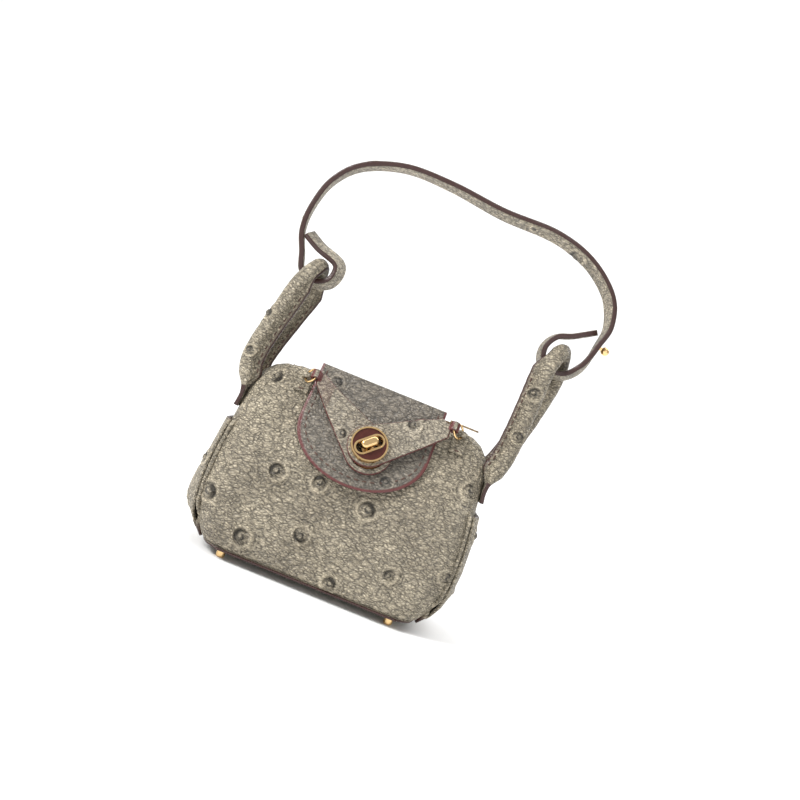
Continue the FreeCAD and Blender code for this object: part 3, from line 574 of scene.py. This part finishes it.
# ---- flap -----------------------------------------------------------------------------------------
# One half-moon of leather: sewn behind the ridge, over the zip and down the sloping front. The cut
# edge is painted rose brown, with a row of stitches inside it, and a rounded fold joins it to its sewn rear
# edge.
# The flap's leather is a darker copy of the taupe leather: painted shade on the sloping flap.
shaded_flap_leather = leather_shade("shaded_flap_leather", (0.215, 0.188, 0.15), (0.145, 0.125, 0.098), ROSE_EDGE, 0.6)
SLOPE_OUT = np.array((0.0, -2.0, 1.0)) / math.sqrt(5)
REAR_SLOPE_OUT = SLOPE_OUT * (1, -1, 1)
LOCK_HEIGHT, LOCK_DEPTH = 47.0, 13.4
FLAP_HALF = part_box("flap")[1][0] / MM
EDGE_INSET, MOON_TOP, MOON_DROP, FLAP_FACE = 2.3, 50.0, 15.0, 1.43
BEND_START, FLAP_RIDGE, ROW_START, ROOT_ROW, ROOT_FACE = 62.5, 66, 65.0, 56.0, 1.12
FOLD_PLACE, FOLD_RADIUS = (0, 0.00490, 0.06605), 0.00068


def on_slope(x, z, lift):
    """Point (mm) that stands lift out from the sloping front at height z."""
    base = np.array((x, -(LOCK_DEPTH - (z - LOCK_HEIGHT) / 2), z))
    return base + SLOPE_OUT * lift


def slope_edge(points, normals):
    """Edge paint where the surface turns away from the leather's faces."""
    front = abs(normals @ SLOPE_OUT)
    back = abs(normals @ REAR_SLOPE_OUT)
    high = points[:, 2] > BEND_START
    face = np.where(high, np.maximum(np.maximum(front, back), abs(normals[:, 2])),
                    np.where(points[:, 1] > 0, back, front))
    return np.clip((0.93 - face) / 0.15, 0, 1)


def flap_edge(points, normals):
    """Painted border of the half-moon, about a millimetre wide on its face."""
    tongue = (1 - np.hypot(points[:, 0] / FLAP_HALF, (points[:, 2] - MOON_TOP) / MOON_DROP)) * MOON_DROP
    border = np.where(points[:, 2] < MOON_TOP, tongue, FLAP_HALF - abs(points[:, 0]))
    border = np.where(points[:, 1] > 2.0, 9.0, border)
    cut = slope_edge(points, normals) * (points[:, 2] < FLAP_RIDGE)
    return np.maximum(np.clip((0.95 - border) / 0.25, 0, 1), cut)


def hinge_fold(bm):
    """Soft fold that joins the flap to its sewn rear edge."""
    turn = Matrix.Translation(FOLD_PLACE) @ Matrix.Rotation(math.pi / 2, 4, "Y")
    bmesh.ops.create_cone(bm, cap_ends=True, segments=24, radius1=FOLD_RADIUS, radius2=FOLD_RADIUS,
                          depth=2 * FLAP_HALF * MM, matrix=turn)


FLAP_QUILLS = ((on_slope(-14.6, 62.2, 0), 1.5, 2.2), (on_slope(11.2, 39.8, 0), 1.5, 0.4),
               (on_slope(17.5, 58.0, 0), 1.3, 1.4))
leather_piece("flap_leather_piece", ["flap", "flap_root"], "flap_leaf", 0.27, FLAP_QUILLS, SLOPE_OUT,
              flap_edge, extra=hinge_fold, material=shaded_flap_leather, smooth=4,
              blend=("case", "flap_leaf", (0, 0.0056, 0.0652), (0, 0.0032, 0.0664)))

moon = [(-(FLAP_HALF - EDGE_INSET), z) for z in np.linspace(ROW_START, MOON_TOP, 8)]
moon += [((FLAP_HALF - EDGE_INSET) * math.cos(a), MOON_TOP + (MOON_DROP - EDGE_INSET) * math.sin(a))
         for a in np.linspace(-math.pi, 0, 60)[1:]]
moon += [(FLAP_HALF - EDGE_INSET, z) for z in np.linspace(MOON_TOP, ROW_START, 8)[1:]]
stitches("flap_stitches", [on_slope(x, z, FLAP_FACE) for x, z in moon], [SLOPE_OUT] * len(moon), "flap_leaf")
root_row = [on_slope(x, ROOT_ROW, ROOT_FACE) * (1, -1, 1) for x in np.linspace(-19.5, 19.5, 20)]
stitches("flap_root_stitches", root_row, [REAR_SLOPE_OUT] * len(root_row), "case")


# ---- ring tabs and closing straps -------------------------------------------------------------------
# Two tapered straps reach from gold rings to the turn-lock, the right one on top. Each is two
# layers of leather with painted edges, and each ring hangs in a small tab sewn beside the flap.
strap_leather = leather_shade("closing_strap_leather", (0.41, 0.36, 0.275), (0.285, 0.243, 0.182),
                              ROSE_EDGE, 0.75)
TAB_ROW, TAB_FACE, TAB_MARGIN = 56.5, 1.15, 0.3


def strap_edge(points, normals):
    """Broad soft band of paint where the face rolls over to the edge."""
    return np.clip((0.955 - abs(normals @ SLOPE_OUT)) / 0.06, 0, 1)


CLOSING_QUILLS = {"left": ((on_slope(-7.0, 47.6, 0), 1.4, 2.6),),
                  "right": ((on_slope(12.6, 57.6, 0), 1.6, 0.3), (on_slope(14.4, 60.4, 0), 1.2, 2.4))}
for strap_side, quills in CLOSING_QUILLS.items():
    leather_piece(f"{strap_side}_closing_leather", [f"{strap_side}_closing_strap"], f"{strap_side}_arm", 0.22,
                  quills, SLOPE_OUT, strap_edge, material=strap_leather, smooth=4)
for tab_side in ("left", "right"):
    leather_piece(f"{tab_side}_ring_tab_leather", [f"{tab_side}_ring_tab"], "case", 0.2, look=SLOPE_OUT,
                  smooth=4)
    low, high = (np.array(c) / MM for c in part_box(f"{tab_side}_ring_tab"))
    row = [on_slope(x, TAB_ROW, TAB_FACE) for x in np.linspace(low[0] + TAB_MARGIN, high[0] - TAB_MARGIN, 5)]
    stitches(f"{tab_side}_tab_stitches", row, [SLOPE_OUT] * len(row), "case")


# ---- metal ------------------------------------------------------------------------------------------
# Turned and stamped brass, plated in warm gold and polished: lock, slot plates, rings, studs,
# feet and zip. The lock's face has a thin dark inset.
def gold_shade(name, tint, rough):
    shade = Shade(name, Metallic=1.0)
    place = shade.node("ShaderNodeTexCoord", output=3)
    haze = shade.node("ShaderNodeTexNoise", {"Vector": place, "Scale": 420.0, "Detail": 4.0})
    scuff = shade.node("ShaderNodeTexNoise", {"Vector": place, "Scale": 2600.0, "Detail": 2.0})
    worn = tuple(c * 0.72 for c in tint)
    colour = shade.blend_colour(haze * 0.6 + scuff * 0.2, (*tint, 1), (*worn, 1))
    shade.feed(shade.surface, {"Base Color": colour, "Roughness": rough + haze * 0.12 + scuff * 0.08})
    bump = shade.node("ShaderNodeBump", {"Height": scuff, "Strength": 0.25, "Distance": 0.00003})
    shade.feed(shade.surface, {"Normal": bump})
    return shade.material


def inset_shade():
    shade = Shade("dark_inset", Coat_Weight=0.2, Coat_Roughness=0.1, Specular_IOR_Level=0.3)
    place = shade.node("ShaderNodeTexCoord", output=3)
    cloud = shade.node("ShaderNodeTexNoise", {"Vector": place, "Scale": 900.0, "Detail": 3.0})
    shade.feed(shade.surface, {"Base Color": shade.blend_colour(cloud, (0.032, 0.0050, 0.0022, 1),
                                                                (0.065, 0.010, 0.0045, 1)),
                               "Roughness": 0.3 + cloud * 0.15})
    return shade.material


def board_shade(name, dark, light, scale):
    shade = Shade(name, Roughness=0.85)
    place = shade.node("ShaderNodeTexCoord", output=3)
    weave = shade.node("ShaderNodeTexNoise", {"Vector": place, "Scale": scale, "Detail": 4.0})
    shade.feed(shade.surface, {"Base Color": shade.blend_colour(weave, (*dark, 1), (*light, 1))})
    shade.feed(shade.surface, {"Normal": shade.node("ShaderNodeBump", {"Height": weave, "Distance": 0.0001})})
    return shade.material


gold = gold_shade("warm_gold", (0.90, 0.62, 0.30), 0.14)
cloth = board_shade("lining_cloth", (0.10, 0.085, 0.07), (0.20, 0.17, 0.14), 2500.0)
finishes = {"gold_metal": gold, "edge_paint": inset_shade(), "lining": cloth, "zip_tape": cloth,
            "board": board_shade("board_paper", (0.16, 0.13, 0.10), (0.26, 0.22, 0.17), 900.0),
            "cord_core": board_shade("cord_core", (0.45, 0.42, 0.36), (0.62, 0.58, 0.5), 1800.0)}
# The zip's teeth and pull take a darker, rougher copy of the gold.
aged_brass = gold_shade("aged_brass", (0.34, 0.25, 0.15), 0.34)
for subpart in frame["record"]["subparts"]:
    finish = finishes.get(subpart["material_slot"])
    if "zip" in subpart["node"] and finish is gold:
        finish = aged_brass
    if finish:
        node_mesh = frame["nodes"][subpart["node"]].data
        node_mesh.materials.clear()
        node_mesh.materials.append(finish)


# ---- handles ----------------------------------------------------------------------------------------
# Each handle is a strip rolled round a cord and sewn shut along a flange, whose painted edge faces
# the middle of the case. Both ends are pressed flat and sewn to the gusset.
TUBE_RADIUS, FLANGE, FLANGE_HALF, TAB_HALF = 2.65, 1.9, 0.62, 3.1
STITCH_CLEAR = 10.5   # the seam's stitches stop this far below the arch, where the strap loops through
HANDLE_Y, GUSSET_FACE, SEWN_ROW = 6.5, 41.9, 46.0
SEAM_ANGLE = math.asin(FLANGE_HALF / TUBE_RADIUS)
TUBE_ANGLES = np.linspace(SEAM_ANGLE, 2 * math.pi - SEAM_ANGLE, 26)


def handle_section(flange, flat):
    """Outline in (towards the middle, across); flat goes from a rolled tube to a pressed tab."""
    rolled = [(TUBE_RADIUS * math.cos(a), TUBE_RADIUS * math.sin(a)) for a in TUBE_ANGLES]
    pressed = [(0.6 * math.copysign(min(1.0, abs(math.cos(a)) * 2.2), math.cos(a)),
                max(-TAB_HALF, min(TAB_HALF, 3.7 * math.sin(a)))) for a in TUBE_ANGLES]
    root, tip = TUBE_RADIUS * math.cos(SEAM_ANGLE), TUBE_RADIUS + FLANGE * flange
    fin = [(tip * 0.5 + root * 0.5, -FLANGE_HALF), (tip - 0.15, -FLANGE_HALF),
           (tip + 0.05, -FLANGE_HALF * 0.55), (tip + 0.05, FLANGE_HALF * 0.55),
           (tip - 0.15, FLANGE_HALF), (tip * 0.5 + root * 0.5, FLANGE_HALF)]
    rolled += fin
    pressed += [(0.6, y) for _, y in fin]
    fin_paint = [0.0, 1.0, 1.0, 1.0, 1.0, 0.0]
    paint = [float(flat > 0.8 and abs(y) > TAB_HALF - 0.3) for _, y in pressed[:len(TUBE_ANGLES)]]
    paint += [(1 - flat) * p for p in fin_paint]
    mixed = [(a[0] * (1 - flat) + b[0] * flat, a[1] * (1 - flat) + b[1] * flat)
             for a, b in zip(rolled, pressed)]
    return mixed, paint


def settle(piece, moved, paints, marks):
    """Moves a skinned piece to its finished points (mm) and stores what the leather shader reads."""
    piece.data.vertices.foreach_set("co", (moved * MM).ravel())
    mark(piece.data, paints, marks)
    piece.data.update()


def handle(name, side, grip, leg_front, leg_rear, apex, quills):
    """Sweeps the rolled strip from the front tab over the arch to the rear tab."""
    line = smooth_line(leg_front + [apex] + leg_rear[::-1], 300)
    ways = directions(line)
    top = apex[2]
    inward = np.array((-side, 0.0, 0.12))
    rings, paints, seam = [], [], []
    for point, way in zip(line, ways):
        toward = inward - way * (inward @ way)
        toward /= np.linalg.norm(toward)
        across = np.cross(way, toward)
        flat = float(np.clip((55.5 - point[2]) / 6.0, 0, 1))
        flat = flat * flat * (3 - 2 * flat)
        fin = float(np.clip((top - 3.5 - point[2]) / 5.0, 0.05, 1))
        outline, paint = handle_section(fin, flat)
        rings.append([point + toward * a + across * b for a, b in outline])
        paints.append(paint)
        if flat < 0.05 and point[2] < top - STITCH_CLEAR:
            seam.append((point + toward * (TUBE_RADIUS + FLANGE * 0.38), across))
    piece = tube_mesh(name, rings, paints, panel_leather)
    points = mesh_points(piece.data)
    normals = np.array([v.normal for v in piece.data.vertices])
    rise, marks = quill_field(points, normals, quills, (0, -1, 0))
    creases = np.array([noise.noise(Vector(p) * 0.55) for p in points]) * 0.10
    settle(piece, points + normals * (rise + creases)[:, None], paints, marks)
    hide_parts(name, f"{name}_core", f"{name}_tabs")
    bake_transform(piece)
    half = len(seam) // 2
    for label, part in (("front", seam[:half]), ("rear", seam[half:])):
        for face in (-1, 1):
            stitches(f"{name}_{label}_stitches_{'near' if face < 0 else 'far'}",
                     [centre + across * face * (FLANGE_HALF + 0.02) for centre, across in part],
                     [across * face for _, across in part], grip)
    for y in (-1, 1):
        row = [(side * GUSSET_FACE, y * (HANDLE_Y + d), SEWN_ROW) for d in np.linspace(-2.0, 2.0, 4)]
        stitches(f"{name}_tab_stitches_{'front' if y < 0 else 'rear'}", row, [(side, y * 0.25, 0)] * len(row),
                 "case")


handle("left_handle", -1, "left_grip",
       [(-41.3, -6.5, 44.6), (-40.9, -6.5, 49.0), (-41.9, -6.5, 54.0), (-43.2, -6.5, 60.0), (-42.0, -6.5, 69.0),
        (-39.6, -6.5, 79.0), (-37.2, -6.3, 88.5)],
       [(-41.3, 6.5, 44.6), (-40.9, 6.5, 49.0), (-41.9, 6.5, 54.0), (-42.6, 6.5, 60.0), (-40.6, 6.5, 69.0),
        (-37.6, 6.5, 79.0), (-34.8, 6.3, 88.5)], (-34.2, 0, 95.3),
       (((-43.0, 0, 75.2), 1.5, 2.8), ((-43.6, 0, 62.0), 1.3, 1.0)))
handle("right_handle", 1, "right_grip",
       [(41.3, -6.5, 44.6), (40.9, -6.5, 49.0), (41.9, -6.5, 54.0), (43.5, -6.5, 60.0), (44.4, -6.5, 70.0),
        (44.8, -6.5, 81.0), (45.2, -6.4, 91.5)],
       [(41.3, 6.5, 44.6), (40.9, 6.5, 49.0), (41.9, 6.5, 54.0), (44.4, 6.5, 60.0), (47.0, 6.5, 70.0),
        (49.4, 6.5, 81.0), (50.8, 6.4, 91.5)], (48.6, 0, 99.0),
       (((44.0, 0, 82.5), 1.7, 0.6), ((44.3, 0, 68.0), 1.6, 2.2)))


# ---- shoulder strap ---------------------------------------------------------------------------------
# A flat strap of folded leather with painted edges. It is looped round both handles, sewn to itself
# on the left and closed over a ball stud on the right.
STRAP_LINE = (
    (-39.6, 102.9), (-34.4, 100.6), (-29.5, 98.7), (-28.1, 95.4), (-29.7, 91.3), (-34.4, 89.5),
    (-39.2, 91.8), (-41.4, 97.4), (-43.9, 104.0), (-43.9, 112.2), (-40.9, 122.2), (-33.5, 130.2),
    (-20.0, 135.0), (-4.0, 135.1), (14.2, 133.1), (32.4, 132.8), (45.4, 129.1), (55.4, 121.4),
    (59.2, 112.4), (58.2, 105.0), (56.2, 97.2), (51.9, 92.1), (46.8, 91.5), (43.1, 94.0),
    (42.3, 98.6), (44.8, 102.8), (49.6, 104.9), (54.6, 108.6),
)
STRAP_HALF_WIDTH, STRAP_HALF_THICK = 3.2, 0.95
STRAP_TURN_AT = (0.0, 0.06, 0.14, 0.24, 0.42, 0.60, 0.74, 0.84, 0.92, 1.0)
STRAP_TURN = np.radians((26, 26, 4, 4, -4, -18, -16, 18, 4, 0))
PULLED_IN_LEFT, PULLED_IN_RIGHT = ((-41.5, 103.9), (-36.3, 101.1)), ((56.5, 109.0),)
STRAP_QUILL_SIZE, STRAP_QUILL_REACH = 1.15, 7
STRAP_QUILLS = (((40.0, 1.0, 127.0), (-0.5, 0, -0.866)), ((25.0, -1.0, 130.0), (0, 0, -1)),
                ((-30.0, 0.5, 131.0), (-0.5, 0, 0.866)), ((8.0, 0.0, 133.0), (0, 0, 1)),
                ((-43.0, 0.0, 108.0), (-1, 0, 0)), ((57.5, 0.4, 114.0), (1, 0, 0.2)))


def strap_section(width):
    """Rounded bar in (across, through) with the paint on its edges."""
    outline, paint = [], []
    for a in np.linspace(0, 2 * math.pi, 44, endpoint=False):
        c, s = math.cos(a), math.sin(a)
        outline.append((width * math.copysign(abs(c) ** 0.22, c),
                        STRAP_HALF_THICK * math.copysign(abs(s) ** 0.55, s)))
        paint.append(float(abs(c) > 0.72))
    return outline, paint


def shoulder_strap():
    """Sweeps the strap along its line, with each loose end pulled in against the long run."""
    route = PULLED_IN_LEFT + STRAP_LINE[2:-1] + PULLED_IN_RIGHT
    line = smooth_line([(x, 0.0, z) for x, z in route], 620)
    ways = directions(line)
    rings, paints = [], []
    for k, (point, way) in enumerate(zip(line, ways)):
        share = k / (len(line) - 1)
        turn = np.interp(share, STRAP_TURN_AT, STRAP_TURN)
        through = np.array((-way[2], 0.0, way[0]))
        across = np.array((0.0, 1.0, 0.0)) * math.cos(turn) + through * math.sin(turn)
        through = np.cross(across, way)
        ending = min(1.0, (len(line) - 1 - k) / 14)
        width = STRAP_HALF_WIDTH * math.sqrt(max(0.05, 1 - (1 - ending) ** 2))
        outline, paint = strap_section(width)
        rings.append([point + across * a + through * b for a, b in outline])
        paints.append(paint)
    piece = tube_mesh("shoulder_strap_leather", rings, paints, panel_leather)
    points = mesh_points(piece.data)
    normals = np.array([v.normal for v in piece.data.vertices])
    rise, marks = np.zeros(len(points)), {}
    for place, look in STRAP_QUILLS:
        look = np.array(look, float) / np.linalg.norm(look)
        close = np.linalg.norm(points - np.array(place), axis=1) < STRAP_QUILL_REACH
        lift, near = quill_field(points, normals, ((place, STRAP_QUILL_SIZE, 0.8),), look)
        rise += lift * close * 0.7
        for label, values in near.items():
            marks[label] = np.where(close, values, marks.get(label, FAR if label != "side" else 0.0))
    settle(piece, points + normals * rise[:, None], paints, marks)
    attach(piece, "strap")
    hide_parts("shoulder_strap")


shoulder_strap()
